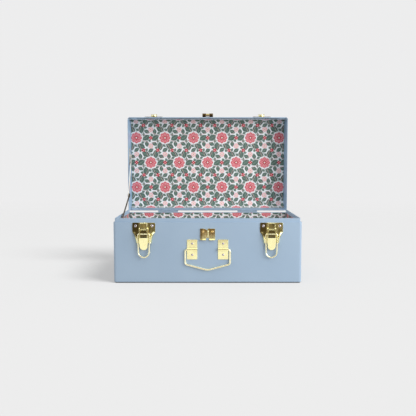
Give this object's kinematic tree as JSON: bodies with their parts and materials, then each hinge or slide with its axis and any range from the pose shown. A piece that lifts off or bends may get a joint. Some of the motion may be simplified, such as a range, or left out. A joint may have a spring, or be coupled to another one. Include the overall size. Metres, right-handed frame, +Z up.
{
  "type": "storage trunk",
  "caption": "Small sheet-metal storage trunk with hinged lid, paper-lined inside, brass draw latches, hasp and staple, front bail handle and a folding lid stay.",
  "frame": {"origin": "centre of the underside, on the surface that the trunk stands on", "axes": "+Z up, the front with its latches and handle faces -Y, +X to the right seen from the front; the lid stands open behind the body at rest"},
  "size_m": [0.381, 0.2856, 0.359],
  "materials": {
    "blue_paint": "satin powder-blue paint",
    "printed_lining": "matt printed paper over card",
    "polished_brass": "polished brass",
    "plated_steel": "brass-plated",
    "bronzed_steel": "dark bronzed"
  },
  "bodies": {
    "base": {"base_floor_pan": "blue_paint", "base_shell": "blue_paint", "handle_clip_left": "polished_brass", "handle_clip_right": "polished_brass", "handle_rivets": "polished_brass", "hinge_base_leaf_left": "blue_paint", "hinge_base_leaf_right": "blue_paint", "hinge_base_rivets": "blue_paint", "hinge_pin_left": "blue_paint", "hinge_pin_right": "blue_paint", "latch_pin_left": "polished_brass", "latch_pin_right": "polished_brass", "latch_plate_left": "polished_brass", "latch_plate_right": "polished_brass", "latch_rivets": "polished_brass", "lining_floor": "printed_lining", "lining_front": "printed_lining", "lining_left": "printed_lining", "lining_rear": "printed_lining", "lining_right": "printed_lining", "staple": "polished_brass", "staple_rivets": "polished_brass", "stay_base_bracket": "bronzed_steel", "stay_base_rivets": "bronzed_steel"},
    "lid": {"hasp_pin": "polished_brass", "hasp_plate": "polished_brass", "hasp_rivets": "polished_brass", "hinge_lid_leaf_left": "blue_paint", "hinge_lid_leaf_right": "blue_paint", "hinge_lid_rivets": "blue_paint", "lid_end_left": "blue_paint", "lid_end_right": "blue_paint", "lid_lining": "printed_lining", "lid_lining_front": "printed_lining", "lid_lining_rear": "printed_lining", "lid_shell": "blue_paint", "stay_lid_bracket": "plated_steel", "stay_lid_pin": "plated_steel", "stay_lid_rivets": "plated_steel", "strike_left": "polished_brass", "strike_right": "polished_brass", "strike_rivets": "polished_brass"},
    "hasp_flap": {"hasp_flap": "polished_brass"},
    "handle": {"handle_bail": "polished_brass"},
    "lever_left": {"latch_lever_left": "polished_brass"},
    "lever_right": {"latch_lever_right": "polished_brass"},
    "loop_left": {"latch_loop_left": "polished_brass"},
    "loop_right": {"latch_loop_right": "polished_brass"},
    "stay_upper": {"stay_upper_link": "plated_steel", "stay_elbow_rivet": "plated_steel"},
    "stay_lower": {"stay_lower_link": "bronzed_steel", "stay_foot_rivet": "bronzed_steel"}
  },
  "joints": [
    {"name": "lid_hinge", "type": "hinge", "parent": "base", "child": "lid", "pos_m": [0, 0.114, 0.1249], "axis": [-1, 0, 0], "range_deg": [-90, 0]},
    {"name": "hasp_swing", "type": "hinge", "parent": "lid", "child": "hasp_flap", "pos_m": [0, 0.119, 0.3555], "axis": [1, 0, 0], "range_deg": [0, 180]},
    {"name": "handle_swing", "type": "hinge", "parent": "base", "child": "handle", "pos_m": [0, -0.1131, 0.0687], "axis": [-1, 0, 0], "range_deg": [0, 160]},
    {"name": "stay_lid_pivot", "type": "hinge", "parent": "lid", "child": "stay_upper", "pos_m": [-0.19, 0.136, 0.2569], "axis": [-1, 0, 0], "range_deg": [-21.66, 0]},
    {"name": "stay_elbow", "type": "hinge", "parent": "stay_upper", "child": "stay_lower", "pos_m": [-0.19, 0.078, 0.1664], "axis": [1, 0, 0], "range_deg": [-126.12, 0]},
    {"name": "lever_left_lift", "type": "hinge", "parent": "base", "child": "lever_left", "pos_m": [-0.1285, -0.116, 0.1099], "axis": [1, 0, 0], "range_deg": [-120, 0]},
    {"name": "loop_left_swing", "type": "hinge", "parent": "lever_left", "child": "loop_left", "pos_m": [-0.1285, -0.1152, 0.1004], "axis": [-1, 0, 0], "range_deg": [0, 180]},
    {"name": "lever_right_lift", "type": "hinge", "parent": "base", "child": "lever_right", "pos_m": [0.1285, -0.116, 0.1099], "axis": [1, 0, 0], "range_deg": [-120, 0]},
    {"name": "loop_right_swing", "type": "hinge", "parent": "lever_right", "child": "loop_right", "pos_m": [0.1285, -0.1152, 0.1004], "axis": [-1, 0, 0], "range_deg": [0, 180]}
  ],
  "couplings": [
    {"joint": "stay_lid_pivot", "follows": "lid_hinge", "ratio": 0.24049},
    {"joint": "stay_elbow", "follows": "lid_hinge", "ratio": 1.4012}
  ]
}
